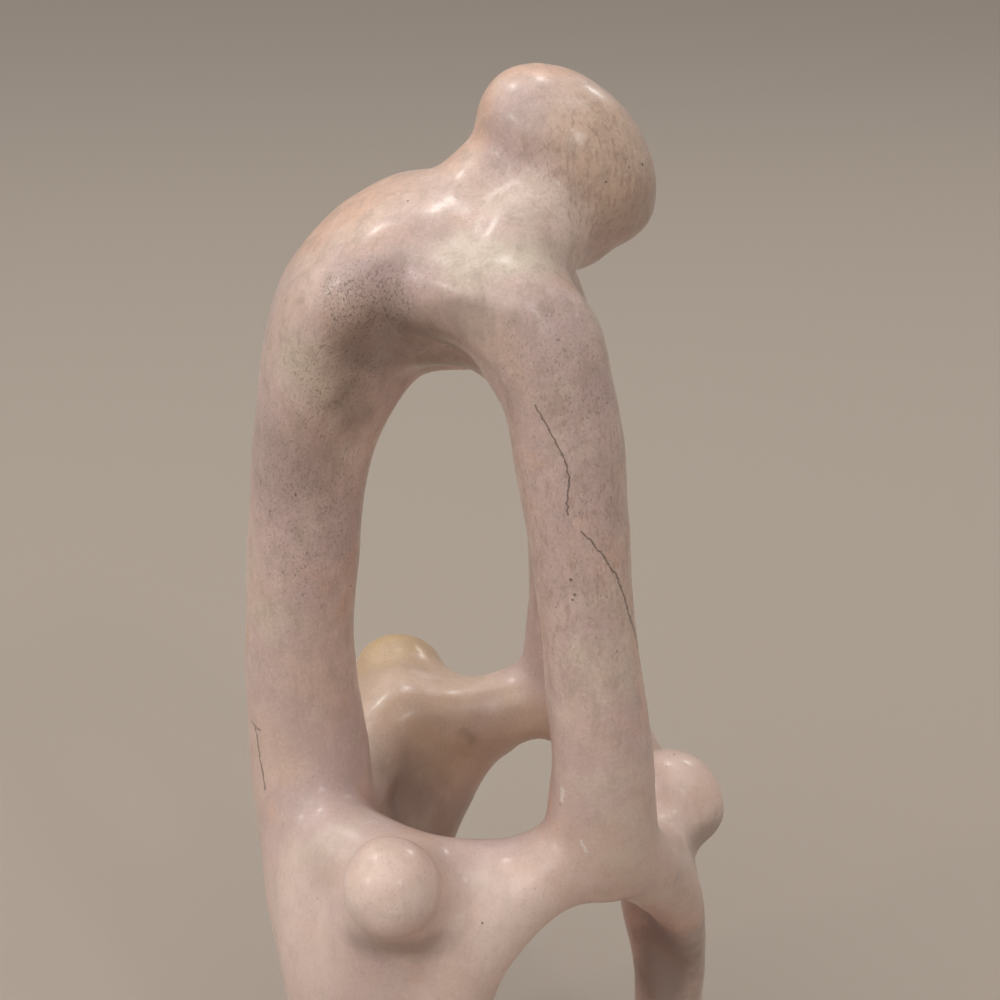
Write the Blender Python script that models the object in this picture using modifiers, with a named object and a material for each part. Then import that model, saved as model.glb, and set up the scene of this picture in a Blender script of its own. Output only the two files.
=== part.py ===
# A polished soapstone carving of a family, cut from one block: a tall bowed adult whose long arms
# come down on a ring of three children. Run with blender --background --python part.py.
# Metres, +Z up. The origin is the middle of the flat underside, and the adult's head bows towards +X.
import math

import bmesh
import bpy
import numpy as np
from mathutils import Matrix, Vector

# Driving sizes
HEIGHT = 0.304
BASE_LENGTH = 0.126
BASE_WIDTH = 0.110
BASE_THICKNESS = 0.013
BASE_ROUNDING = 0.005

# The figures are drawn on a grid of this many units to the full height
FIGURE_UNITS = 304
UNIT = HEIGHT / FIGURE_UNITS

# How the block is worked: rough cut, rubbing down, facets kept
ROUGH_CUT = 0.0022
RUBBED_DEPTH = 0.0034
SECTION_SIDES = 28
RINGS_PER_STATION = 6
FACETS_KEPT = 9400

STONE_COLOUR = (0.62, 0.46, 0.39, 1.0)
STONE_ROUGHNESS = 0.38

# Each station of a limb: x, y, z of its centre, then half its breadth and half its thickness
ADULT_BODY = [
    (-42, 0, 4, 22, 20),
    (-41, 0, 40, 18, 16.5),
    (-46.5, 0, 69, 17, 16.5),
    (-50, 0, 96, 17, 16.5),
    (-52.2, 0, 123, 17, 16.2),
    (-53.5, 0, 146, 16, 15),
    (-53, 0, 165, 16, 15),
    (-51.5, 0, 186, 17, 15),
    (-52, 0, 205.5, 20, 13),
    (-48.4, 0, 224.8, 25, 13.5),
    (-42, 0, 244.8, 30, 15),
    (-25.6, 0, 259.2, 31, 16),
    (-8.5, 0, 262, 28, 15.5),
    (5, 0, 258, 18, 14),
    (13, 0, 257, 11, 11),
]
ADULT_CHEST = [
    (-50, 0, 180, 14, 13),
    (-47.5, 0, 205, 12, 14.6),
    (-40.5, 0, 222, 11, 15),
    (-30.5, 0, 236.5, 11, 16),
    (-18, 0, 243.5, 11, 18.5),
    (-5, 0, 245, 12, 19),
    (7, 0, 247, 13, 14),
]
# The slope under the yoke, from its middle up to the shoulder
ADULT_HOLLOW = [
    (-42, 7, 218, 9, 10),
    (-36, 8, 231, 9, 10),
    (-26, 9.5, 238.5, 10, 10),
    (-15, 11, 241, 11, 10.5),
    (-3, 15, 240, 12, 11),
    (7, 22, 236, 12, 12),
]
ADULT_NECK = [
    (-16, 0, 250, 24, 20),
    (-5, 0, 261, 23, 20),
    (5, 0, 272, 19, 18.5),
    (14, 0, 280, 15, 15),
]
ADULT_SHOULDER = [
    (0.5, 28, 252, 13, 13),
    (4, 20, 259, 14.5, 15),
    (8.5, 12, 265.5, 14, 15),
    (12, 4, 271, 13, 14),
]
ADULT_SHOULDER_BLADE = [
    (-14, 20, 253, 13, 12),
    (-12, 13, 259, 14, 13),
    (-8, 5, 263, 14, 13),
]
ADULT_ARMPIT = [
    (-34, 10, 242, 12, 11),
    (-17, 16, 249, 13, 11),
    (-2, 20, 249, 14, 13),
    (10, 26, 239, 13, 13),
]
ADULT_ARM = [
    (-26, 13, 253.5, 14, 13),
    (-11, 25, 252.5, 14, 13),
    (2.5, 31, 249, 16, 14.5),
    (10, 33.5, 240, 15.5, 15.6),
    (14.6, 35, 228, 14.5, 14.2),
    (17.2, 36, 213, 14, 14),
    (19.1, 37, 196, 13.5, 13),
    (21.3, 38, 176, 13, 12.3),
    (23.8, 39.5, 154, 13.3, 12.8),
    (25.5, 41, 138, 13.5, 13.3),
    (26, 41.3, 123, 13.2, 14),
    (26.5, 39.5, 109, 12, 14.5),
    (30, 35, 100.5, 10, 10.5),
]
CHILD_BODY = [
    (-24, 38, 104, 13, 15),
    (-25, 39, 92, 15, 20),
    (-26, 38, 72, 15, 22),
    (-27, 35, 48, 15, 21),
    (-28, 32, 26, 15, 20),
    (-28, 30, 4, 16, 21),
]
CHILD_NECK = [
    (-22, 34, 95, 12, 14),
    (-23, 42, 99, 14, 15.5),
    (-24.5, 49, 102, 13, 14.5),
    (-26.5, 56, 106.5, 10.5, 11.5),
]
# The child's flank spreads up into the arm above it
CHILD_FLANK = [
    (-17, 33, 4, 13, 12.5),
    (-15.5, 38, 35, 13, 12),
    (-14, 42, 62, 13, 11.5),
    (-10.5, 44.5, 78, 12, 11),
    (-3.5, 45, 89.5, 12, 10.5),
    (7, 43, 100.5, 12, 10),
    (21, 41, 111, 12, 10.5),
]
# The stone left between the child and the adult's body
CHILD_BACK = [
    (-36.5, 21, 4, 20, 18),
    (-38, 23, 40, 19, 16.5),
    (-42.5, 23, 70, 18.5, 16.8),
    (-45, 20, 92, 15, 15),
    (-48, 8, 103, 11, 11),
]
COLUMN_FLANK = [
    (-39, 15, 4, 19, 18),
    (-41, 13, 40, 18, 15.5),
    (-46, 13, 69, 17, 15.5),
    (-49.5, 11, 92, 16, 15),
    (-51.5, 8, 112, 13, 14),
    (-52.5, 4, 130, 10, 12),
]
RING_ARM = [
    (-49, 4, 102, 12, 12),
    (-38, 26, 102, 12, 13),
    (-22, 37, 100.5, 12, 12),
    (2, 39, 100.5, 11, 11),
    (25, 40, 109, 11, 12),
    (37, 27, 100.5, 10, 9.5),
    (45, 4, 93, 10, 9.5),
]
# The shoulder that joins the +Y child's head to its arm
BACK_SHOULDER = [
    (-30, 56, 115, 12, 12),
    (-20, 50, 113, 12, 12),
    (-9, 44, 111, 12, 11.5),
    (4, 42, 112, 11, 11),
]
FAR_CHILD_BODY = [
    (46.5, 0, 104, 11, 10),
    (43.2, 1, 93, 12, 9),
    (43.4, 4, 78, 12, 10.6),
    (46.8, 5, 55, 12, 9.8),
    (48, 2, 28, 13, 10.5),
    (46, 0, 4, 15, 14),
]
FAR_CHILD_FLANK = [
    (53.5, -3, 48, 7, 4.5),
    (51.5, 5, 66, 8, 6),
    (46.8, 15, 83.5, 9, 8.2),
    (39.8, 29, 98.2, 10, 10.2),
    (33, 38, 108, 10, 10.5),
    (27, 40, 119, 10, 11),
]
# Each egg of a head: its centre, half sizes along, across and through, its nod, and where it faces
HEADS = [
    ((16.7, 0, 281.2), (27, 19.5, 19), 46, 0),
    ((15.8, 0, 267.8), (16, 15.6, 16.6), 0, 0),
    ((-27.4, -60.2, 109.4), (13.3, 12.5, 12.5), 46, -90),
    ((-30, 60, 115.6), (15.8, 14.8, 14.6), 46, 90),
    ((48.5, 0, 106), (15, 13, 12.2), 46, 0),
]
# The +Y side is carved a little higher and further back: height, then shift in x and z
FAR_SIDE_SHIFT = [
    (0, -2, 0),
    (60, -16, 6),
    (78, -7.8, 10.4),
    (90, -6.6, 12.3),
    (100, -6.5, 13.5),
    (112, -6, 11),
    (130, -5, 9),
    (160, -3, 6),
    (190, -1.5, 4),
    (225, -3, 2.5),
    (240, -6, 2),
]
# The share of that shift at each x, so that the adult's body and the far child stay in line
FAR_SIDE_REACH = [(-44, 0), (-22, 1), (26, 1), (40, 0)]


def smooth_path(stations, rings_per_station):
    """A Catmull-Rom curve through the stations, with their sizes carried along."""
    known = np.array(stations, float)
    padded = np.vstack([2 * known[0] - known[1], known, 2 * known[-1] - known[-2]])
    t = np.linspace(0, 1, rings_per_station, endpoint=False)[:, None]
    pieces = []
    for p0, p1, p2, p3 in zip(padded, padded[1:], padded[2:], padded[3:]):
        pieces.append(
            0.5 * (2 * p1 + (p2 - p0) * t
                   + (2 * p0 - 5 * p1 + 4 * p2 - p3) * t ** 2
                   + (3 * p1 - p0 - 3 * p2 + p3) * t ** 3)
        )
    return np.vstack(pieces + [known[-1:]])


def add_limb(block, stations, breadth_axis, side="as drawn"):
    """Lofts oval sections, square to the smooth path, with their breadth nearest to breadth_axis.

    Stations are drawn at +Y. The near side is turned over to -Y, and the far side takes its shift.
    """
    path = smooth_path(stations, RINGS_PER_STATION)
    if side == "near":
        path[:, 1] *= -1
    elif side == "far":
        heights, shift_x, shift_z = np.array(FAR_SIDE_SHIFT).T
        height = path[:, 2].copy()
        share = np.interp(path[:, 0], *np.array(FAR_SIDE_REACH).T)
        path[:, 0] += np.interp(height, heights, shift_x) * share
        path[:, 2] += np.interp(height, heights, shift_z) * share
    centres, sizes = path[:, :3] * UNIT, path[:, 3:] * UNIT
    along = np.gradient(centres, axis=0)
    along /= np.linalg.norm(along, axis=1)[:, None]
    breadth = np.array(breadth_axis, float) - along * (along @ breadth_axis)[:, None]
    breadth /= np.linalg.norm(breadth, axis=1)[:, None]
    thickness = np.cross(along, breadth)
    turn = np.linspace(0, 2 * math.pi, SECTION_SIDES, endpoint=False)
    rings = []
    for centre, size, b, t in zip(centres, sizes, breadth, thickness):
        section = np.outer(np.cos(turn) * size[0], b) + np.outer(np.sin(turn) * size[1], t)
        rings.append([block.verts.new(centre + p) for p in section])
    for lower, upper in zip(rings, rings[1:]):
        for k in range(SECTION_SIDES):
            j = (k + 1) % SECTION_SIDES
            block.faces.new((lower[k], lower[j], upper[j], upper[k]))
    block.faces.new(rings[0][::-1])
    block.faces.new(rings[-1])


def add_head(block, centre, half_sizes, nod, facing):
    """An egg of stone, its long axis nodded down and then turned to where the face looks."""
    turned = Matrix.Rotation(math.radians(facing), 4, "Z") @ Matrix.Rotation(math.radians(nod), 4, "Y")
    place = Matrix.Translation(Vector(centre) * UNIT) @ turned
    shape = Matrix.Diagonal((*[size * UNIT for size in half_sizes], 1))
    bmesh.ops.create_uvsphere(block, u_segments=32, v_segments=20, radius=1, matrix=place @ shape)


def add_base(block):
    """The low oval foot, left long below the floor so that the cut makes it flat."""
    profile = [
        (-BASE_ROUNDING * 2, -BASE_ROUNDING * 1.5),
        (-BASE_ROUNDING * 0.4, 0),
        (0, BASE_ROUNDING),
        (0, BASE_THICKNESS - BASE_ROUNDING),
        (-BASE_ROUNDING * 0.3, BASE_THICKNESS - BASE_ROUNDING * 0.3),
        (-BASE_ROUNDING, BASE_THICKNESS),
    ]
    turn = np.linspace(0, 2 * math.pi, 64, endpoint=False)
    rings = []
    for inset, z in profile:
        x = (BASE_LENGTH / 2 + inset) * np.cos(turn)
        y = (BASE_WIDTH / 2 + inset) * np.sin(turn)
        rings.append([block.verts.new((a, b, z)) for a, b in zip(x, y)])
    for lower, upper in zip(rings, rings[1:]):
        for k in range(len(turn)):
            j = (k + 1) % len(turn)
            block.faces.new((lower[k], lower[j], upper[j], upper[k]))
    block.faces.new(rings[0][::-1])
    block.faces.new(rings[-1])


def rough_block():
    """Every limb, head and the foot as crossing solids in one mesh."""
    block = bmesh.new()
    add_limb(block, ADULT_BODY, (0, 1, 0))
    add_limb(block, ADULT_CHEST, (0, 1, 0))
    add_limb(block, ADULT_NECK, (0, 1, 0))
    add_limb(block, BACK_SHOULDER, (0, 0, 1))
    add_limb(block, FAR_CHILD_BODY, (0, 1, 0))
    for side in ("near", "far"):
        add_limb(block, ADULT_HOLLOW, (0, 1, 0), side)
        add_limb(block, ADULT_SHOULDER, (1, 0, 0), side)
        add_limb(block, ADULT_SHOULDER_BLADE, (1, 0, 0), side)
        add_limb(block, ADULT_ARMPIT, (0, 1, 0), side)
        add_limb(block, ADULT_ARM, (0, 1, 0), side)
        add_limb(block, CHILD_BODY, (0, 1, 0), side)
        add_limb(block, CHILD_NECK, (1, 0, 0), side)
        add_limb(block, CHILD_FLANK, (0, 1, 0), side)
        add_limb(block, CHILD_BACK, (0, 1, 0), side)
        add_limb(block, COLUMN_FLANK, (0, 1, 0), side)
        add_limb(block, RING_ARM, (0, 0, 1), side)
        add_limb(block, FAR_CHILD_FLANK, (0, 1, 0), side)
    for head in HEADS:
        add_head(block, *head)
    add_base(block)
    mesh = bpy.data.meshes.new("rough_block")
    block.to_mesh(mesh)
    block.free()
    return mesh


def floor_cutter(collection):
    """A box whose top face is the floor that the carving stands on."""
    bpy.ops.mesh.primitive_cube_add(size=1, location=(0, 0, -0.05))
    cutter = bpy.context.object
    cutter.name = "floor_cutter"
    cutter.scale = (BASE_LENGTH * 2, BASE_WIDTH * 2, 0.1)
    bpy.ops.object.transform_apply(location=False, rotation=False, scale=True)
    cutter.hide_render = True
    cutter.display_type = "WIRE"
    for home in list(cutter.users_collection):
        home.objects.unlink(cutter)
    collection.objects.link(cutter)
    return cutter


def faces_of(obj):
    graph = bpy.context.evaluated_depsgraph_get()
    mesh = obj.evaluated_get(graph).to_mesh()
    mesh.calc_loop_triangles()
    return len(mesh.loop_triangles)


def stone():
    material = bpy.data.materials.new("soapstone")
    material.use_nodes = True
    shader = material.node_tree.nodes["Principled BSDF"]
    shader.inputs["Base Color"].default_value = STONE_COLOUR
    shader.inputs["Roughness"].default_value = STONE_ROUGHNESS
    shader.inputs["Metallic"].default_value = 0.0
    return material


def build():
    for old in list(bpy.data.objects):
        bpy.data.objects.remove(old)
    carving_parts = bpy.data.collections.new("family_group_sculpture")
    cutters = bpy.data.collections.new("cutters")
    bpy.context.scene.collection.children.link(carving_parts)
    bpy.context.scene.collection.children.link(cutters)

    carving = bpy.data.objects.new("family_carving", rough_block())
    carving_parts.objects.link(carving)
    carving.data.materials.append(stone())

    fuse = carving.modifiers.new("fuse", "REMESH")
    fuse.mode = "VOXEL"
    fuse.voxel_size = ROUGH_CUT
    fuse.use_smooth_shade = True
    rub = carving.modifiers.new("rub_down", "SMOOTH")
    rub.factor = 0.5
    rub.iterations = round((RUBBED_DEPTH / ROUGH_CUT) ** 2 * 8)
    bpy.context.view_layer.update()
    keep = carving.modifiers.new("facets", "DECIMATE")
    keep.ratio = min(1.0, FACETS_KEPT / faces_of(carving))
    flat = carving.modifiers.new("flat_underside", "BOOLEAN")
    flat.operation = "DIFFERENCE"
    flat.object = floor_cutter(cutters)


build()
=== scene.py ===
import math

import bmesh
import bpy
import numpy as np
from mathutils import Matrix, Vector


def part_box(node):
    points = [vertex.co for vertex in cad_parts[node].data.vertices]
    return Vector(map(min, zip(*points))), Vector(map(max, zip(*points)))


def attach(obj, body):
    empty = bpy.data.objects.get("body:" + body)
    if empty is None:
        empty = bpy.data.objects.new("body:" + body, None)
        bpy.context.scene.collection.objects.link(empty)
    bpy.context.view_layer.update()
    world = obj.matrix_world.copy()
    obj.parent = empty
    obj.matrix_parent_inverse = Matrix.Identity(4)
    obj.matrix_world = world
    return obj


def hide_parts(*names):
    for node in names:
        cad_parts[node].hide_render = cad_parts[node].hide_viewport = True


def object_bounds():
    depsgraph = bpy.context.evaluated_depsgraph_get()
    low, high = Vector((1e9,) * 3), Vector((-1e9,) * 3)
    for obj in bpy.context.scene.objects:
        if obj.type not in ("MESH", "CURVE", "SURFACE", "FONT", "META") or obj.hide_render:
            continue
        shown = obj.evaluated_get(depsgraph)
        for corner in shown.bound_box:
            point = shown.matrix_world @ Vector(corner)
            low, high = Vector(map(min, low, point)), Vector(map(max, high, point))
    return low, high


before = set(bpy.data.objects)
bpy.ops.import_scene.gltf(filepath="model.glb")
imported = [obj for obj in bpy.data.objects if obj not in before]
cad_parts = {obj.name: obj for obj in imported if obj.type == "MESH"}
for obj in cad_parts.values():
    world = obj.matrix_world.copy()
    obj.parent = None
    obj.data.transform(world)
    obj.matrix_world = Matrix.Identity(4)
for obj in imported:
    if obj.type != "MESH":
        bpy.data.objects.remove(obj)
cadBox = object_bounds()
print("frame loaded")


# The camera stands in front and a little above, looking down at the carving
camera = {
    "place": (0.0, -0.58, 0.3725),  # metres
    "lookDown": 17.4,  # degrees below level
    "lens": 83.52,  # mm, on a sensor 36 mm wide
}


def addCamera():
    data = bpy.data.cameras.new("camera")
    data.lens = camera["lens"]
    data.sensor_width = 36
    eye = bpy.data.objects.new("camera", data)
    eye.location = camera["place"]
    eye.rotation_euler = (math.radians(90 - camera["lookDown"]), 0, 0)
    bpy.context.scene.collection.objects.link(eye)
    bpy.context.scene.camera = eye


addCamera()
bpy.context.scene.view_settings.view_transform = "Standard"  # the stone's own colours, with no film look
print("camera placed")


# The carving. A station of a limb is x, y, z of its centre, half its breadth and half its thickness,
# in millimetres of a figure 304 mm tall. A limb on both sides is drawn at +y.
carving = {
    "figureHeight": 304,
    "voxel": 1.33,  # of the grid that the solids are fused on
    "rubbedDepth": 3.4,  # how far round the joints are rubbed
    "rubbingPasses": 8,  # for a depth of one voxel
    "sidesRound": 48,
    "ringsPerStation": 14,
    "rowsOfHead": 48,
    "poleGap": 0.02,  # radians at a head's crown and chin that a fan closes
    "limbs": {
        "adultBody": {
            "stations": [
                (-42, 0, 4, 22, 20), (-41, 0, 40, 18, 16.5), (-46.5, 0, 69, 17, 16.5),
                (-50, 0, 96, 17, 16.5), (-52.2, 0, 123, 17, 16.2), (-53.5, 0, 146, 16, 15),
                (-53, 0, 165, 16, 15), (-51.5, 0, 186, 17, 15), (-52, 0, 205.5, 20, 13),
                (-48.4, 0, 224.8, 25, 13.5), (-42, 0, 244.8, 30, 15), (-25.6, 0, 259.2, 31, 16),
                (-8.5, 0, 262, 28, 15.5), (5, 0, 258, 18, 14), (13, 0, 257, 11, 11),
            ],
            "breadthAxis": (0, 1, 0),
            "sides": "middle",
        },
        "adultChest": {
            "stations": [
                (-50, 0, 180, 14, 13), (-47.5, 0, 205, 12, 14.6), (-40.5, 0, 222, 11, 15),
                (-30.5, 0, 236.5, 11, 16), (-18, 0, 243.5, 11, 18.5), (-5, 0, 245, 12, 19),
                (7, 0, 247, 13, 14),
            ],
            "breadthAxis": (0, 1, 0),
            "sides": "middle",
        },
        "adultNeck": {
            "stations": [
                (-16, 0, 250, 24, 20), (-5, 0, 261, 23, 20), (5, 0, 272, 19, 18.5), (14, 0, 280, 15, 15),
            ],
            "breadthAxis": (0, 1, 0),
            "sides": "middle",
        },
        "adultShoulder": {
            "stations": [
                (0.5, 28, 252, 13, 13), (4, 20, 259, 14.5, 15), (8.5, 12, 265.5, 14, 15),
                (12, 4, 271, 13, 14),
            ],
            "breadthAxis": (1, 0, 0),
            "sides": "both",
        },
        "adultShoulderBlade": {
            "stations": [(-14, 20, 253, 13, 12), (-12, 13, 259, 14, 13), (-8, 5, 263, 14, 13)],
            "breadthAxis": (1, 0, 0),
            "sides": "both",
        },
        "adultHollow": {
            "stations": [
                (-42, 7, 218, 9, 10), (-36, 8, 231, 9, 10), (-26, 9.5, 238.5, 10, 10),
                (-15, 11, 241, 11, 10.5), (-3, 15, 240, 12, 11), (7, 22, 236, 12, 12),
            ],
            "breadthAxis": (0, 1, 0),
            "sides": "both",
        },
        "adultArmpit": {
            "stations": [
                (-34, 10, 242, 12, 11), (-17, 16, 249, 13, 11), (-2, 20, 249, 14, 13),
                (10, 26, 239, 13, 13),
            ],
            "breadthAxis": (0, 1, 0),
            "sides": "both",
        },
        "adultArm": {
            "stations": [
                (-26, 13, 253.5, 14, 13), (-11, 25, 252.5, 14, 13), (2.5, 31, 249, 16, 14.5),
                (10, 33.5, 240, 15.5, 15.6), (14.6, 35, 228, 14.5, 14.2), (17.2, 36, 213, 14, 14),
                (19.1, 37, 196, 13.5, 13), (21.3, 38, 176, 13, 12.3), (23.8, 39.5, 154, 13.3, 12.8),
                (25.5, 41, 138, 13.5, 13.3), (26, 41.3, 123, 13.2, 14), (26.5, 39.5, 109, 12, 14.5),
                (30, 35, 100.5, 10, 10.5),
            ],
            "breadthAxis": (0, 1, 0),
            "sides": "both",
        },
        "childBody": {
            "stations": [
                (-24, 38, 104, 13, 15), (-25, 39, 92, 15, 20), (-26, 38, 72, 15, 22),
                (-27, 35, 48, 15, 21), (-28, 32, 26, 15, 20), (-28, 30, 4, 16, 21),
            ],
            "breadthAxis": (0, 1, 0),
            "sides": "both",
        },
        "childNeck": {
            "stations": [
                (-22, 34, 95, 12, 14), (-23, 42, 99, 14, 15.5), (-24.5, 49, 102, 13, 14.5),
                (-26.5, 56, 106.5, 10.5, 11.5),
            ],
            "breadthAxis": (1, 0, 0),
            "sides": "both",
        },
        "childFlank": {
            "stations": [
                (-17, 33, 4, 13, 12.5), (-15.5, 38, 35, 13, 12), (-14, 42, 62, 13, 11.5),
                (-10.5, 44.5, 78, 12, 11), (-3.5, 45, 89.5, 12, 10.5), (7, 43, 100.5, 12, 10),
                (21, 41, 111, 12, 10.5),
            ],
            "breadthAxis": (0, 1, 0),
            "sides": "both",
        },
        "childBack": {
            "stations": [
                (-36.5, 21, 4, 20, 18), (-38, 23, 40, 19, 16.5), (-42.5, 23, 70, 18.5, 16.8),
                (-45, 20, 92, 15, 15), (-48, 8, 103, 11, 11),
            ],
            "breadthAxis": (0, 1, 0),
            "sides": "both",
        },
        "columnFlank": {
            "stations": [
                (-39, 15, 4, 19, 18), (-41, 13, 40, 18, 15.5), (-46, 13, 69, 17, 15.5),
                (-49.5, 11, 92, 16, 15), (-51.5, 8, 112, 13, 14), (-52.5, 4, 130, 10, 12),
            ],
            "breadthAxis": (0, 1, 0),
            "sides": "both",
        },
        "ringArm": {
            "stations": [
                (-49, 4, 102, 12, 12), (-38, 26, 102, 12, 13), (-22, 37, 100.5, 12, 12),
                (2, 39, 100.5, 11, 11), (25, 40, 109, 11, 12), (37, 27, 100.5, 10, 9.5),
                (45, 4, 93, 10, 9.5),
            ],
            "breadthAxis": (0, 0, 1),
            "sides": "both",
        },
        "backShoulder": {
            "stations": [
                (-30, 56, 115, 12, 12), (-20, 50, 113, 12, 12), (-9, 44, 111, 12, 11.5),
                (4, 42, 112, 11, 11),
            ],
            "breadthAxis": (0, 0, 1),
            "sides": "back",
        },
        "farChildBody": {
            "stations": [
                (46.5, 0, 104, 11, 10), (43.2, 1, 93, 12, 9), (43.4, 4, 78, 12, 10.6),
                (46.8, 5, 55, 12, 9.8), (48, 2, 28, 13, 10.5), (46, 0, 4, 15, 14),
            ],
            "breadthAxis": (0, 1, 0),
            "sides": "middle",
        },
        "farChildFlank": {
            "stations": [
                (53.5, -3, 48, 7, 4.5), (51.5, 5, 66, 8, 6), (46.8, 15, 83.5, 9, 8.2),
                (39.8, 29, 98.2, 10, 10.2), (33, 38, 108, 10, 10.5), (27, 40, 119, 10, 11),
            ],
            "breadthAxis": (0, 1, 0),
            "sides": "both",
        },
    },
    # An egg of a head: its centre, half sizes along, across and through, its nod, and where it faces
    "heads": {
        "adult": {"centre": (16.7, 0, 281.2), "half": (27, 19.5, 19), "nod": 46, "facing": 0},
        "adultThroat": {"centre": (15.8, 0, 267.8), "half": (16, 15.6, 16.6), "nod": 0, "facing": 0},
        "nearChild": {
            "centre": (-27.4, -60.2, 109.4), "half": (13.3, 12.5, 12.5), "nod": 46, "facing": -90,
        },
        "backChild": {"centre": (-30, 60, 115.6), "half": (15.8, 14.8, 14.6), "nod": 46, "facing": 90},
        "farChild": {"centre": (48.5, 0, 106), "half": (15, 13, 12.2), "nod": 46, "facing": 0},
    },
    "foot": {"length": 126, "width": 110, "thickness": 13, "rounding": 5, "sides": 96},
    # The +y side is carved a little higher and further back: height, then shift in x and z,
    # with the share of that shift at each x
    "backShift": [
        (0, -2, 0), (60, -16, 6), (78, -7.8, 10.4), (90, -6.6, 12.3), (100, -6.5, 13.5),
        (112, -6, 11), (130, -5, 9), (160, -3, 6), (190, -1.5, 4), (225, -3, 2.5), (240, -6, 2),
    ],
    "backReach": [(-44, 0), (-22, 1), (26, 1), (40, 0)],
    # The unevenness that hand rubbing leaves: how long each swell is and how deep, the waves that
    # make one up and their lengths as shares of its own, and the heights where the swells set in
    "swells": [{"length": 24, "depth": 0.17, "seed": 3}, {"length": 9, "depth": 0.035, "seed": 8}],
    "swellWaves": 28,
    "waveLengths": (0.7, 1.5),
    "swellsSetIn": (2, 12),
    # Small knocks in the edges: centre, radius and depth
    "knocks": [((-66.4, -9, 129.5), 2.2, 0.5), ((-65.2, -10, 123.5), 1.6, 0.3)],
}


# Catmull-Rom: between stations b and c, with neighbours a and d, the point at t is half of
# 2b + (c - a) t + (2a - 5b + 4c - d) t^2 + (3b - a - 3c + d) t^3
def pathThrough(stations):
    known = np.array(stations, float)
    padded = np.vstack([2 * known[0] - known[1], known, 2 * known[-1] - known[-2]])
    a, b, c, d = (padded[k:k + len(known) - 1, None] for k in range(4))
    t = np.linspace(0, 1, carving["ringsPerStation"], endpoint=False)[None, :, None]
    curve = (2 * b + (c - a) * t + (2 * a - 5 * b + 4 * c - d) * t ** 2
             + (3 * b - a - 3 * c + d) * t ** 3) / 2
    return np.vstack([curve.reshape(-1, known.shape[1]), known[-1:]])


# A limb in the middle or at the back is drawn in place. One on both sides is turned over for -y,
# and for +y it takes the shift for its height, times the share for its x.
def placeSide(path, side):
    if side == "inPlace":
        return path
    if side == "near":
        return path * np.array([1, -1, 1, 1, 1])
    heights, shiftX, shiftZ = np.array(carving["backShift"], float).T
    share = np.interp(path[:, 0], *np.array(carving["backReach"], float).T)
    moved = path.copy()
    moved[:, 0] += np.interp(path[:, 2], heights, shiftX) * share
    moved[:, 2] += np.interp(path[:, 2], heights, shiftZ) * share
    return moved


# A limb is a surface of t along its path and u round it: centre(t) + breadth(t) cos(u) B(t)
# + thickness(t) sin(u) T(t). B is the breadth axis made square to the path, T is square to both.
def limbSurface(path, breadthAxis):
    centres = path[:, :3]
    along = np.gradient(centres, axis=0)
    along /= np.linalg.norm(along, axis=1, keepdims=True)
    axis = np.array(breadthAxis, float)
    across = axis - along * (along @ axis)[:, None]
    across /= np.linalg.norm(across, axis=1, keepdims=True)
    through = np.cross(along, across)
    u = np.linspace(0, 2 * math.pi, carving["sidesRound"], endpoint=False)[None, :, None]
    breadth, thickness = path[:, 3, None, None], path[:, 4, None, None]
    return (centres[:, None] + breadth * np.cos(u) * across[:, None]
            + thickness * np.sin(u) * through[:, None])


# A head is a ball of v from crown to chin and u round it, (cos v, sin v cos u, sin v sin u),
# stretched to its half sizes, nodded about y and then turned about z
def headSurface(head):
    gap = carving["poleGap"]
    v = np.linspace(gap, math.pi - gap, carving["rowsOfHead"])[:, None]
    u = np.linspace(0, 2 * math.pi, carving["sidesRound"], endpoint=False)[None, :]
    ball = np.stack([np.cos(v) + 0 * u, np.sin(v) * np.cos(u), np.sin(v) * np.sin(u)], axis=-1)
    nod, facing = math.radians(head["nod"]), math.radians(head["facing"])
    nodded = np.array([
        [math.cos(nod), 0, math.sin(nod)],
        [0, 1, 0],
        [-math.sin(nod), 0, math.cos(nod)],
    ])
    turned = np.array([
        [math.cos(facing), -math.sin(facing), 0],
        [math.sin(facing), math.cos(facing), 0],
        [0, 0, 1],
    ])
    return np.array(head["centre"]) + (ball * np.array(head["half"])) @ (turned @ nodded).T


# The foot is an oval carried up a rounded profile of insets and heights. It starts below the
# floor, where it is cut flat later.
def footSurface(foot):
    r, t = foot["rounding"], foot["thickness"]
    profile = np.array([
        (-2 * r, -1.5 * r), (-0.4 * r, 0), (0, r), (0, t - r), (-0.3 * r, t - 0.3 * r), (-r, t),
    ])
    u = np.linspace(0, 2 * math.pi, foot["sides"], endpoint=False)[None, :]
    inset, z = profile[:, :1], profile[:, 1:]
    x = (foot["length"] / 2 + inset) * np.cos(u)
    y = (foot["width"] / 2 + inset) * np.sin(u)
    return np.stack([x, y, z + 0 * u], axis=-1)


# Closes a grid of rings into a solid: a quad for each cell, and a fan to a pole at each end
def closeRings(grid):
    rings, sides = grid.shape[:2]
    index = np.arange(rings * sides).reshape(rings, sides)
    beside = np.roll(index, -1, axis=1)
    quads = np.stack([index[:-1], beside[:-1], beside[1:], index[1:]], axis=-1).reshape(-1, 4)
    first, last = rings * sides, rings * sides + 1
    fans = np.vstack([
        np.stack([beside[0], index[0], np.full(sides, first)], axis=-1),
        np.stack([index[-1], beside[-1], np.full(sides, last)], axis=-1),
    ])
    points = np.vstack([grid.reshape(-1, 3), grid[0].mean(0), grid[-1].mean(0)])
    return points, quads, fans


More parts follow.
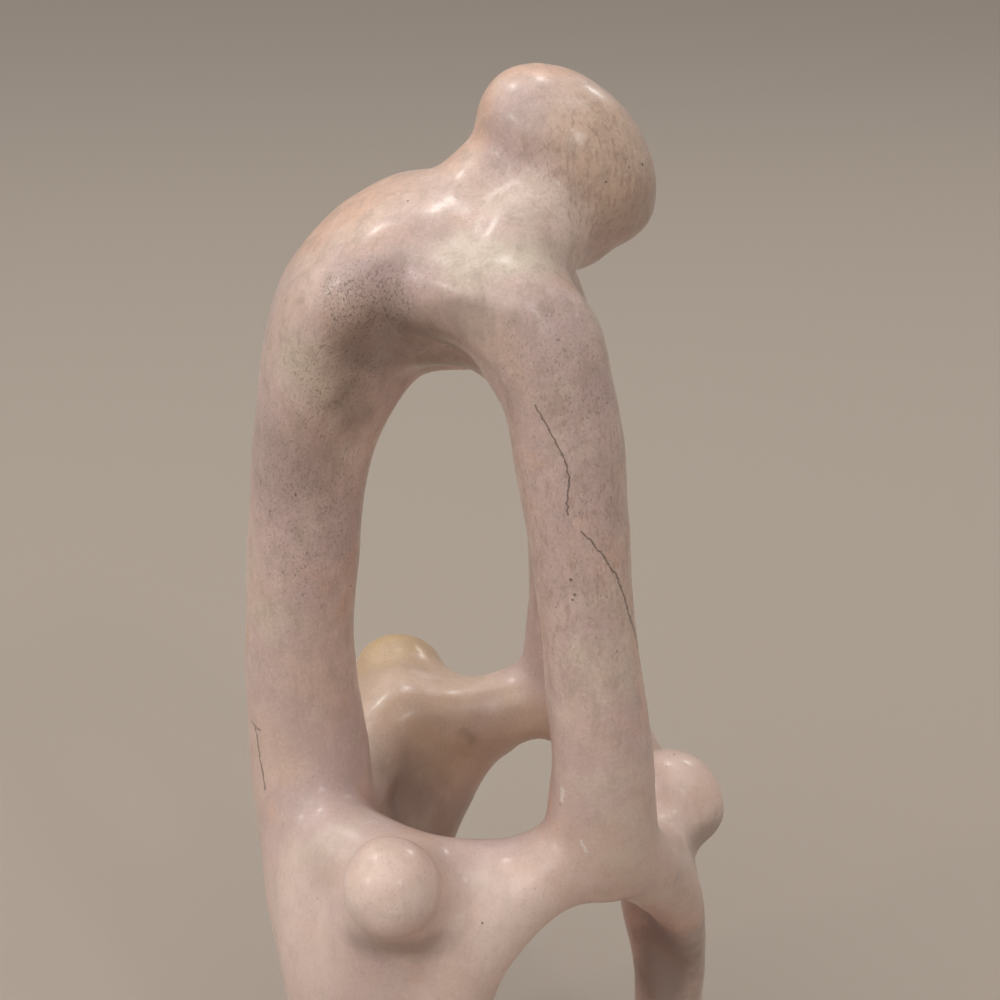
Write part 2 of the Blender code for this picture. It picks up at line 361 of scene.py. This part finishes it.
def roughBlock(unit):
    shells = []
    for limb in carving["limbs"].values():
        path = pathThrough(limb["stations"])
        for side in ("near", "far") if limb["sides"] == "both" else ("inPlace",):
            shells.append(closeRings(limbSurface(placeSide(path, side), limb["breadthAxis"])))
    for head in carving["heads"].values():
        shells.append(closeRings(headSurface(head)))
    shells.append(closeRings(footSurface(carving["foot"])))
    points, faces, count = [], [], 0
    for shell, quads, fans in shells:
        points.append(shell * unit)
        faces += (quads + count).tolist() + (fans + count).tolist()
        count += len(shell)
    mesh = bpy.data.meshes.new("roughBlock")
    mesh.from_pydata(np.vstack(points).tolist(), [], faces)
    return mesh


# Fuses the crossing solids on a fine voxel grid and rubs the joints round. The passes go with the
# square of depth over voxel, so that a finer grid is rubbed to the same roundness.
def rubDown(piece, unit):
    fuse = piece.modifiers.new("fuse", "REMESH")
    fuse.mode = "VOXEL"
    fuse.voxel_size = carving["voxel"] * unit
    rub = piece.modifiers.new("rubDown", "SMOOTH")
    rub.factor = 0.5
    rub.iterations = round((carving["rubbedDepth"] / carving["voxel"]) ** 2 * carving["rubbingPasses"])
    graph = bpy.context.evaluated_depsgraph_get()
    worked = bpy.data.meshes.new_from_object(piece.evaluated_get(graph))
    piece.modifiers.clear()
    piece.data = worked


# Cuts the foot flat at the floor and closes it with one face, which has a crisp edge
def flattenUnderside(piece):
    block = bmesh.new()
    block.from_mesh(piece.data)
    everything = block.verts[:] + block.edges[:] + block.faces[:]
    bmesh.ops.bisect_plane(block, geom=everything, plane_co=(0, 0, 0), plane_no=(0, 0, 1), clear_inner=True)
    rim = [edge for edge in block.edges if edge.is_boundary]
    for face in block.faces:
        face.smooth = True
    closed = bmesh.ops.holes_fill(block, edges=rim, sides=0)["faces"]
    for face in closed:
        face.smooth = False
    for edge in rim:
        edge.smooth = False
    bmesh.ops.recalc_face_normals(block, faces=block.faces[:])
    block.to_mesh(piece.data)
    block.free()


# A swell is a sum of sine waves in all directions, sin(2 pi p.d / length + phase), scaled so
# that its usual height is its depth
def swellHeights(points, swell):
    draw = np.random.default_rng(swell["seed"])
    waves = carving["swellWaves"]
    directions = draw.normal(size=(waves, 3))
    directions /= np.linalg.norm(directions, axis=1, keepdims=True)
    lengths = swell["length"] * draw.uniform(*carving["waveLengths"], size=(waves, 1))
    phases = draw.uniform(0, 2 * math.pi, size=waves)
    heights = np.sin(points @ (directions / lengths).T * 2 * math.pi + phases)
    return heights.sum(axis=1) * swell["depth"] * math.sqrt(2 / waves)


# Moves the skin along its normals by the swells, less a round dent at each knock, fading to
# nothing at the foot so that the underside stays flat. Then each axis is fitted to the solid's box.
def workSurface(piece, unit):
    mesh = piece.data
    points, normals = np.empty((2, len(mesh.vertices), 3), np.float32)
    mesh.vertices.foreach_get("co", points.ravel())
    mesh.vertex_normals.foreach_get("vector", normals.ravel())
    local = points.astype(float) / unit
    height = sum(swellHeights(local, swell) for swell in carving["swells"])
    for centre, radius, depth in carving["knocks"]:
        distance = np.linalg.norm(local - np.array(centre), axis=1)
        height -= depth * np.exp(-(distance / radius) ** 2)
    bottom, top = carving["swellsSetIn"]
    height *= np.clip((local[:, 2] - bottom) / (top - bottom), 0, 1)
    worked = points + normals * height[:, None] * unit
    low, high = np.array(cadBox[0]), np.array(cadBox[1])
    share = (worked - worked.min(axis=0)) / np.ptp(worked, axis=0)
    fitted = low + share * (high - low)
    mesh.vertices.foreach_set("co", fitted.astype(np.float32).ravel())
    mesh.update()


def makeCarving():
    low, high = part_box("family_carving")
    unit = (high.z - low.z) / carving["figureHeight"]
    piece = bpy.data.objects.new("carving", roughBlock(unit))
    bpy.context.scene.collection.objects.link(piece)
    rubDown(piece, unit)
    flattenUnderside(piece)
    workSurface(piece, unit)
    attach(piece, "root")
    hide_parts("family_carving")
    return piece


piece = makeCarving()
print("carving made:", len(piece.data.polygons), "faces")


# Shader sockets that can be added, taken away, multiplied and divided as values
class Wire:
    def __init__(self, tree, socket=None):
        self.tree = tree
        self.socket = socket

    # Adds a node: its settings first, then the values or wires of its sockets
    def node(self, kind, settings=None, sockets=None, output=0):
        made = self.tree.nodes.new(kind)
        for name, value in (settings or {}).items():
            setattr(made, name, value)
        for name, value in (sockets or {}).items():
            if isinstance(value, Wire):
                self.tree.links.new(value.socket, made.inputs[name])
            else:
                made.inputs[name].default_value = value
        return Wire(self.tree, made.outputs[output])

    def maths(self, operation, *values):
        return self.node("ShaderNodeMath", {"operation": operation}, dict(enumerate(values)))

    def __add__(self, other):
        return self.maths("ADD", self, other)

    def __sub__(self, other):
        return self.maths("SUBTRACT", self, other)

    def __rsub__(self, other):
        return self.maths("SUBTRACT", other, self)

    def __mul__(self, other):
        return self.maths("MULTIPLY", self, other)

    def __truediv__(self, other):
        return self.maths("DIVIDE", self, other)

    __radd__ = __add__
    __rmul__ = __mul__

    # 0 below low, 1 above high, and smooth between; low may be the larger
    def rise(self, low, high):
        sockets = {"Value": self, "From Min": low, "From Max": high}
        return self.node("ShaderNodeMapRange", {"interpolation_type": "SMOOTHSTEP"}, sockets)

    def vector(self, operation, other, output=0):
        sockets = {0: self, "Scale" if operation == "SCALE" else 1: other}
        return self.node("ShaderNodeVectorMath", {"operation": operation}, sockets, output)

    # Noise over this vector, one swell of it to each size
    def noise(self, size, detail=2.0, rough=0.5, warp=0.0, output="Fac"):
        sockets = {
            "Vector": self, "Scale": 1 / size, "Detail": detail, "Roughness": rough, "Distortion": warp,
        }
        return self.node("ShaderNodeTexNoise", {}, sockets, output)

    # Cells of this size: distance from the middle, or the cell's own colour
    def cells(self, size, output="Distance"):
        return self.node("ShaderNodeTexVoronoi", {}, {"Vector": self, "Scale": 1 / size}, output)


# The stone's finish. Colours are linear; places and sizes are in millimetres.
stone = {
    "pink": (0.69, 0.505, 0.43),
    "mauve": (0.62, 0.45, 0.425),
    "cream": (0.70, 0.575, 0.47),
    "peach": (0.75, 0.47, 0.34),
    "ochre": (0.62, 0.42, 0.21),
    "tan": (0.67, 0.475, 0.335),
    # pale is the stone's paler tone in the mottling, and partly painted light in its patches
    "pale": (0.88, 0.69, 0.61),
    # The next colour is painted shade, for the dark patches in the hollows, the arches and under the heads
    "paintedShade": (0.225, 0.16, 0.135),
    "shade": (0.43, 0.32, 0.26),
    "rust": (0.40, 0.235, 0.18),
    "fleck": (0.11, 0.08, 0.07),
    "scuff": (0.86, 0.78, 0.71),
    "roughness": 0.36,
    "coat": 0.26,
    "coatRoughness": 0.2,
    "ior": 1.5,
    # Noises of colour, from broad drifts down to the grain
    "drift": {"size": 30, "detail": 3, "rough": 0.5, "warp": 0.5},
    "cloud": {"size": 19, "detail": 4, "rough": 0.55, "warp": 0.4},
    "cloudMoved": (70, 20, 5),
    "mottle": {"size": 5.5, "detail": 4, "rough": 0.62, "warp": 0.3},
    "streak": {"size": 3.2, "detail": 3, "rough": 0.6},
    "streakDrawnOut": (1, 1, 0.35),
    "grain": {"size": 0.8, "detail": 2, "rough": 0.6},
    # How far the edges of patches wander and the thin lines shake
    "wander": {"size": 9, "detail": 4, "rough": 0.6, "reach": 11.0},
    "shake": {"size": 1.6, "detail": 3, "rough": 0.5, "reach": 1.3},
    # Layers of colour: the colour, the noise it follows, where it starts and where it is full in
    # that noise, and its strength. The ground lies under the patches and the mottling over them.
    "ground": [
        ("mauve", "drift", 0.42, 0.60, 0.8), ("cream", "cloud", 0.52, 0.68, 0.6),
        ("peach", "cloud", 0.46, 0.32, 0.45),
    ],
    "mottling": [
        ("shade", "mottle", 0.48, 0.68, 0.36), ("pale", "mottle", 0.48, 0.30, 0.3),
        ("shade", "streak", 0.50, 0.70, 0.36), ("shade", "grain", 0.52, 0.70, 0.24),
    ],
    # The lower parts are rubbed smoother and show less of the mottling: the share left there, and
    # the heights between which it comes back
    "wornShare": 0.35,
    "wornHeights": (110, 165),
    "scuffing": ("scuff", "grain", 0.46, 0.30, 0.18),
    # A patch, a pit and a thin line fade between these shares of their size
    "patchEdge": (1.25, 0.45),
    "pitEdge": (1.3, 0.5),
    "lineEdge": (1, 0.35),
    # Soft patches of another colour, each over the ones before: centre, half sizes, strength. The pale
    # patches are partly painted light.
    "patches": [
        # Pale patches on the heads, the web and the lower front: partly the stone's paler tone, partly
        # painted light where these parts lie in the shade of the figure above; the one at the adult's
        # throat is painted light in the crease between head and shoulder
        ("pale", [
            ((-28, -66, 112), (17, 15, 14), 1.0), ((2, -48, 96), (26, 18, 16), 0.9),
            ((8, -46, 84), (20, 18, 12), 1.0), ((-46, -28, 78), (28, 26, 34), 0.6),
            ((50, -6, 107), (18, 16, 16), 1.0), ((14, -20, 267), (10, 10, 9), 0.7),
            ((-14, -44, 64), (30, 24, 22), 0.6),
        ]),
        ("peach", [
            ((-40, 0, 268), (30, 26, 16), 0.9), ((10, 4, 306), (28, 24, 8), 0.8),
            ((-8, 0, 282), (20, 14, 10), 0.6), ((-4, -4, 292), (8, 14, 14), 0.7),
            ((39, -42, 172), (8, 14, 30), 0.8), ((-28, -66, 118), (14, 14, 8), 0.3),
            ((56, -4, 112), (10, 12, 7), 0.35), ((52, 0, 112), (18, 16, 12), 0.2),
            ((-30, -24, 264), (14, 14, 6), 0.4),
        ]),
        ("mauve", [
            ((-24, -26, 257), (18, 14, 9), 1.0), ((3, -16, 290), (11, 12, 14), 0.9),
            ((-56, -12, 204), (14, 14, 30), 0.8), ((12, -46, 190), (7, 12, 16), 0.6),
        ]),
        ("cream", [
            ((0, -33, 262), (19, 12, 6), 1.0), ((6, -20, 272), (15, 9, 9), 0.4),
            ((-47, -18, 234), (9, 14, 13), 0.9), ((-4, 30, 264), (18, 12, 8), 0.7),
        ]),
        ("ochre", [((-36, 56, 131), (24, 20, 12), 1.0), ((-14, 50, 104), (9, 10, 7), 0.3)]),
        ("tan", [
            ((-22, 42, 110), (30, 28, 26), 0.9), ((4, 36, 114), (18, 18, 14), 0.7),
            ((28, -12, 284), (14, 16, 20), 0.6), ((20, -20, 292), (18, 10, 12), 0.35),
        ]),
        # Painted light: pale strips along the top of the back child's shoulders
        ("pale", [((-22, 42, 121), (7, 12, 5), 0.6), ((-2, 40, 119), (5, 12, 5), 0.55)]),
    ],
    # Painted shade: dark patches in the hollow under the shoulders, in the arches, in the recesses and
    # under the heads, laid over the mottling
    "paintedShadeStrength": 0.94,
    "paintedShadePatches": [
        ((-18, -14, 245), (21, 32, 11), 0.8), ((-31, -20, 238), (12, 22, 12), 0.7),
        ((-5, -12, 239), (14, 26, 8), 0.65), ((-37, -14, 222), (6, 14, 14), 0.5),
        ((46, -4, 62), (11, 20, 30), 0.9), ((-7, -34, 250), (15, 14, 7), 0.55),
        ((-10, 0, 234), (28, 32, 7), 0.85), ((56, -2, 98), (12, 18, 8), 0.6),
        ((-54, -12, 208), (14, 16, 16), 0.25), ((-25, -52, 91), (15, 12, 6), 0.45),
        ((-35, 26, 95), (21, 20, 20), 0.75), ((-20, 30, 82), (26, 20, 14), 0.5),
        ((34, -10, 268), (12, 18, 8), 0.3), ((-9, 36, 112), (4, 9, 3.5), 0.5),
    ],
    # Places that were waxed less
    "dullPatches": [((0, -20, 272), (9, 10, 11), 0.85)],
    # Dark specks: the peaks of a fine ragged noise on a slant, more of them in drifts and crowds
    "specks": {
        "noise": {"size": 0.54, "detail": 4, "rough": 0.7, "warp": 0.4},
        "slant": -32,  # degrees about y
        "drawnOut": (1, 1, 0.6),
        "peaks": (0.605, 0.725),
        "drifts": {"size": 9, "detail": 3, "rough": 0.6},
        "driftsMoved": (5, 40, 90),
        "driftPeaks": (0.42, 0.66),
        "moreInDrifts": 0.035,
        "moreInCrowds": 0.09,
        "strength": 0.32,
        "strengthInCrowds": 0.3,
    },
    "crowds": [
        ((-31, -30, 250), (15, 22, 13), 1.0), ((-40, -20, 232), (15, 22, 18), 0.8),
        ((-14, -30, 240), (20, 18, 12), 0.6), ((16, -40, 236), (20, 20, 22), 0.6),
        ((20, -40, 200), (20, 20, 36), 0.4), ((-50, -14, 196), (18, 20, 40), 0.65),
    ],
    # Rust-coloured specks, drawn out upright
    "rustSpecks": {
        "noise": {"size": 1.3, "detail": 4, "rough": 0.65},
        "drawnOut": (1, 1, 0.4),
        "moved": (17, 0, 3),
        "peaks": (0.56, 0.72),
        "moreInCrowds": 0.07,
        "strength": 0.15,
        "strengthInCrowds": 0.35,
    },
    "rustCrowds": [((22, -16, 280), (22, 16, 22), 1.0), ((20, -44, 196), (20, 20, 50), 0.8)],
    # Thin lines on the near side, each a run of points of x and z. They start to fade where y
    # passes their depth, and are whole this much nearer.
    "lineFade": 4,
    "cracks": {
        "width": 0.26,
        "depth": -39,
        "runs": [
            [
                (8.3, 229.3), (11.4, 223.9), (13.3, 220.3), (15.5, 216.2),
                (16.5, 211.8), (16.1, 206.2), (16.3, 202.5),
            ],
            [
                (19.4, 198.6), (21.7, 196.2), (25.4, 191.3), (28.7, 185.5),
                (30.6, 179.3), (32.5, 172.3), (34.5, 165),
            ],
        ],
    },
    "nicks": {
        "width": 0.3,
        "depth": -3,
        "runs": [[(-66, 131), (-63.5, 130.5)], [(-65, 130), (-63.6, 122), (-62.4, 115)]],
    },
    "scratches": {
        "width": 0.6,
        "depth": -39,
        "runs": [[(15.6, 131), (15.4, 127.5)], [(20.2, 118), (21.4, 115.2)]],
    },
    # A scatter of pits, from the cells whose own number picks them
    "pitScatter": {"spacing": 6.0, "edge": (0.065, 0.03), "picked": (0.74, 0.78)},
    # Single pits: centre and radius
    "pits": [
        ((17.2, -49.9, 186.1), 0.4), ((18.2, -50.1, 182.3), 0.45), ((17.7, -50, 181), 0.4),
        ((13.9, -48, 178.4), 0.35), ((25.7, -49.1, 183.2), 0.35), ((31.3, -14, 280.3), 0.6),
        ((35, -10.2, 280.4), 0.5),
    ],
    # How strongly the marks colour the stone, roughen it and stand out of it or sink into it
    "marks": {"pits": 0.75, "cracks": 0.62, "scratches": 0.6},
    "roughened": {"mottle": 0.16, "grain": 0.08, "specks": 0.2, "pits": 0.3},
    "relief": {"grain": 0.02, "streak": 0.03, "specks": -0.03, "pits": -0.3, "cracks": -0.2},
}


# Lays one of the stone's colours over another, by a share
def layOver(under, name, share):
    sockets = {0: share, 6: under, 7: (*stone[name], 1)}
    return share.node("ShaderNodeMix", {"data_type": "RGBA"}, sockets, output=2)


# A place moved by noise, up to half the reach each way
def wandering(place, size, detail, rough, reach):
    noise = place.noise(size, detail, rough, output="Color")
    return place.vector("ADD", noise.vector("SUBTRACT", (0.5, 0.5, 0.5)).vector("SCALE", reach))


# 1 inside an oval patch, fading over its soft edge. The distance is the length of (p - centre) / half.
def patchMask(place, centre, half):
    offset = place.vector("SUBTRACT", centre).vector("DIVIDE", half)
    return offset.vector("LENGTH", (0, 0, 0), output="Value").rise(*stone["patchEdge"])


def patchesMask(place, patches):
    mask = None
    for centre, half, strength in patches:
        one = patchMask(place, centre, half) * strength
        mask = one if mask is None else mask.maths("MAXIMUM", mask, one)
    return mask


# Distance from p to the line from a to b: |p - a - (b - a) h|, with h = (p - a).(b - a) / |b - a|^2
# held from 0 to 1
def segmentDistance(place, start, end):
    line = Vector(end) - Vector(start)
    offset = place.vector("SUBTRACT", start)
    dot = offset.vector("DOT_PRODUCT", tuple(line), output="Value")
    share = dot.node("ShaderNodeClamp", {}, {0: dot / line.length_squared})
    along = share.node("ShaderNodeVectorMath", {"operation": "SCALE"}, {0: tuple(line), "Scale": share})
    return offset.vector("SUBTRACT", along).vector("LENGTH", (0, 0, 0), output="Value")


# Thin lines, measured from the shaken place in x and z alone, as far back as their depth
def lineMask(place, shaken, lines):
    flat = shaken.vector("MULTIPLY", (1, 0, 1))
    nearest = None
    for run in lines["runs"]:
        points = [(x, 0, z) for x, z in run]
        for start, end in zip(points, points[1:]):
            one = segmentDistance(flat, start, end)
            nearest = one if nearest is None else one.maths("MINIMUM", nearest, one)
    y = place.vector("DOT_PRODUCT", (0, 1, 0), output="Value")
    near = y.rise(lines["depth"], lines["depth"] - stone["lineFade"])
    edge, core = (lines["width"] * share for share in stone["lineEdge"])
    return nearest.rise(edge, core) * near


def speckMask(place, ragged):
    specks = stone["specks"]
    slanted = place.node("ShaderNodeMapping", {}, {
        "Vector": place, "Rotation": (0, math.radians(specks["slant"]), 0), "Scale": specks["drawnOut"],
    })
    moved = place.vector("ADD", specks["driftsMoved"])
    drifts = moved.noise(**specks["drifts"]).rise(*specks["driftPeaks"])
    crowd = patchesMask(ragged, stone["crowds"])
    level = (slanted.noise(**specks["noise"]) + crowd * specks["moreInCrowds"]
             + drifts * specks["moreInDrifts"])
    return level.rise(*specks["peaks"]) * (specks["strength"] + crowd * specks["strengthInCrowds"])


def rustMask(place, ragged):
    specks = stone["rustSpecks"]
    upright = place.vector("MULTIPLY", specks["drawnOut"]).vector("ADD", specks["moved"])
    crowd = patchesMask(ragged, stone["rustCrowds"])
    level = upright.noise(**specks["noise"]) + crowd * specks["moreInCrowds"]
    return level.rise(*specks["peaks"]) * (specks["strength"] + crowd * specks["strengthInCrowds"])


def pitMask(place):
    scatter = stone["pitScatter"]
    number = place.cells(scatter["spacing"], "Color").vector("DOT_PRODUCT", (0, 1, 0), output="Value")
    pits = place.cells(scatter["spacing"]).rise(*scatter["edge"]) * number.rise(*scatter["picked"])
    edge, core = stone["pitEdge"]
    for centre, radius in stone["pits"]:
        distance = place.vector("DISTANCE", centre, output="Value")
        pits = pits.maths("MAXIMUM", pits, distance.rise(radius * edge, radius * core))
    return pits


def makeStone():
    material = bpy.data.materials.new("soapstone")
    material.use_nodes = True
    tree = material.node_tree
    shader = tree.nodes["Principled BSDF"]
    shader.inputs["Coat Roughness"].default_value = stone["coatRoughness"]
    shader.inputs["IOR"].default_value = stone["ior"]

    place = Wire(tree).node("ShaderNodeTexCoord", {}, {}, "Object").vector("SCALE", 1000.0)  # metres to mm
    ragged = wandering(place, **stone["wander"])
    shaken = wandering(place, **stone["shake"])
    noises = {
        "drift": place.noise(**stone["drift"]),
        "cloud": place.vector("ADD", stone["cloudMoved"]).noise(**stone["cloud"]),
        "mottle": place.noise(**stone["mottle"]),
        "streak": place.vector("MULTIPLY", stone["streakDrawnOut"]).noise(**stone["streak"]),
        "grain": place.noise(**stone["grain"]),
    }
    height = place.vector("DOT_PRODUCT", (0, 0, 1), output="Value")
    worn = stone["wornShare"] + (1 - stone["wornShare"]) * height.rise(*stone["wornHeights"])

    # The stone's colours, with painted shade and light, from the ground up to the single marks
    colour = (*stone["pink"], 1)
    for name, noise, start, full, strength in stone["ground"]:
        colour = layOver(colour, name, noises[noise].rise(start, full) * strength)
    # The pale patches among these are partly painted light
    for name, patches in stone["patches"]:
        colour = layOver(colour, name, patchesMask(ragged, patches))
    for name, noise, start, full, strength in stone["mottling"]:
        colour = layOver(colour, name, noises[noise].rise(start, full) * worn * strength)
    name, noise, start, full, strength = stone["scuffing"]
    colour = layOver(colour, name, noises[noise].rise(start, full) * strength)
    # Painted shade in the hollows, the arches and under the heads
    colour = layOver(colour, "paintedShade", patchesMask(ragged, stone["paintedShadePatches"]) * stone["paintedShadeStrength"])

    specks = speckMask(place, ragged)
    pits = pitMask(place)
    cracks = lineMask(place, shaken, stone["cracks"]) + lineMask(place, shaken, stone["nicks"])
    scratches = lineMask(place, shaken, stone["scratches"])
    marks = stone["marks"]
    colour = layOver(colour, "rust", rustMask(place, ragged))
    colour = layOver(colour, "fleck", specks)
    colour = layOver(colour, "fleck", pits * marks["pits"])
    colour = layOver(colour, "fleck", cracks * marks["cracks"])
    colour = layOver(colour, "scuff", scratches * marks["scratches"])

    # The wax, duller in places, and the fine relief, whose heights are in millimetres
    coat = stone["coat"] * (1 - patchesMask(ragged, stone["dullPatches"]))
    mottle, streak, grain = (noises[noise] - 0.5 for noise in ("mottle", "streak", "grain"))
    more = stone["roughened"]
    roughness = (stone["roughness"] + mottle * more["mottle"] + grain * more["grain"]
                 + specks * more["specks"] + pits * more["pits"])
    rise = stone["relief"]
    relief = (grain * rise["grain"] + streak * rise["streak"] + specks * rise["specks"]
              + pits * rise["pits"] + cracks * rise["cracks"])
    bump = relief.node("ShaderNodeBump", {}, {"Distance": 0.001, "Strength": 1.0, "Height": relief})

    tree.links.new(colour.socket, shader.inputs["Base Color"])
    tree.links.new(roughness.socket, shader.inputs["Roughness"])
    tree.links.new(coat.socket, shader.inputs["Coat Weight"])
    tree.links.new(bump.socket, shader.inputs["Normal"])
    return material


piece.data.materials.clear()
piece.data.materials.append(makeStone())
print("stone finished")


# A plain pale floor, and soft light from above with small lamps for the wax to catch
studio = {
    "floorSize": 40.0,  # metres
    "floorColour": (0.385, 0.325, 0.275, 1),
    "floorRoughness": 0.85,
    "target": (0, 0, 0.16),
    # direction from the target, distance, size in metres, power in watts
    "lamps": {
        "ceiling": {"direction": (-0.38, -0.12, 1.0), "distance": 9.0, "size": 25.0, "power": 1040},
        "front": {"direction": (-0.35, -0.8, 0.75), "distance": 3.4, "size": 2.4, "power": 14},
        "ceilingLeft": {"direction": (-0.51, 0.18, 0.84), "distance": 2.2, "size": 0.26, "power": 6},
        "ceilingMiddle": {"direction": (0.02, 0.28, 0.96), "distance": 2.2, "size": 0.26, "power": 6},
        "ceilingRight": {"direction": (0.48, 0.62, 0.62), "distance": 2.4, "size": 0.26, "power": 4},
        "frontLeft": {"direction": (-0.80, -0.42, 0.42), "distance": 2.4, "size": 0.22, "power": 4.5},
        "frontRight": {"direction": (0.36, -0.74, 0.56), "distance": 2.4, "size": 0.22, "power": 4.5},
    },
    "lampColour": (1.0, 0.985, 0.955),
    "skyColour": (0.82, 0.80, 0.78, 1),
    "skyStrength": 0.3,
}


def addStudio():
    half = studio["floorSize"] / 2
    mesh = bpy.data.meshes.new("floor")
    corners = [(-half, -half, 0), (half, -half, 0), (half, half, 0), (-half, half, 0)]
    mesh.from_pydata(corners, [], [(0, 1, 2, 3)])
    floor = bpy.data.objects.new("floor", mesh)
    bpy.context.scene.collection.objects.link(floor)
    finish = bpy.data.materials.new("paleFloor")
    finish.use_nodes = True
    shader = finish.node_tree.nodes["Principled BSDF"]
    shader.inputs["Base Color"].default_value = studio["floorColour"]
    shader.inputs["Roughness"].default_value = studio["floorRoughness"]
    mesh.materials.append(finish)

    target = Vector(studio["target"])
    for name, lamp in studio["lamps"].items():
        data = bpy.data.lights.new(name, "AREA")
        data.shape = "DISK"
        data.size = lamp["size"]
        data.energy = lamp["power"]
        data.color = studio["lampColour"]
        light = bpy.data.objects.new(name, data)
        direction = Vector(lamp["direction"]).normalized()
        light.location = target + direction * lamp["distance"]
        light.rotation_euler = direction.to_track_quat("Z", "Y").to_euler()
        bpy.context.scene.collection.objects.link(light)

    world = bpy.data.worlds.new("softRoom")
    world.use_nodes = True
    sky = world.node_tree.nodes["Background"]
    sky.inputs["Color"].default_value = studio["skyColour"]
    sky.inputs["Strength"].default_value = studio["skyStrength"]
    bpy.context.scene.world = world


addStudio()
print("studio lit")
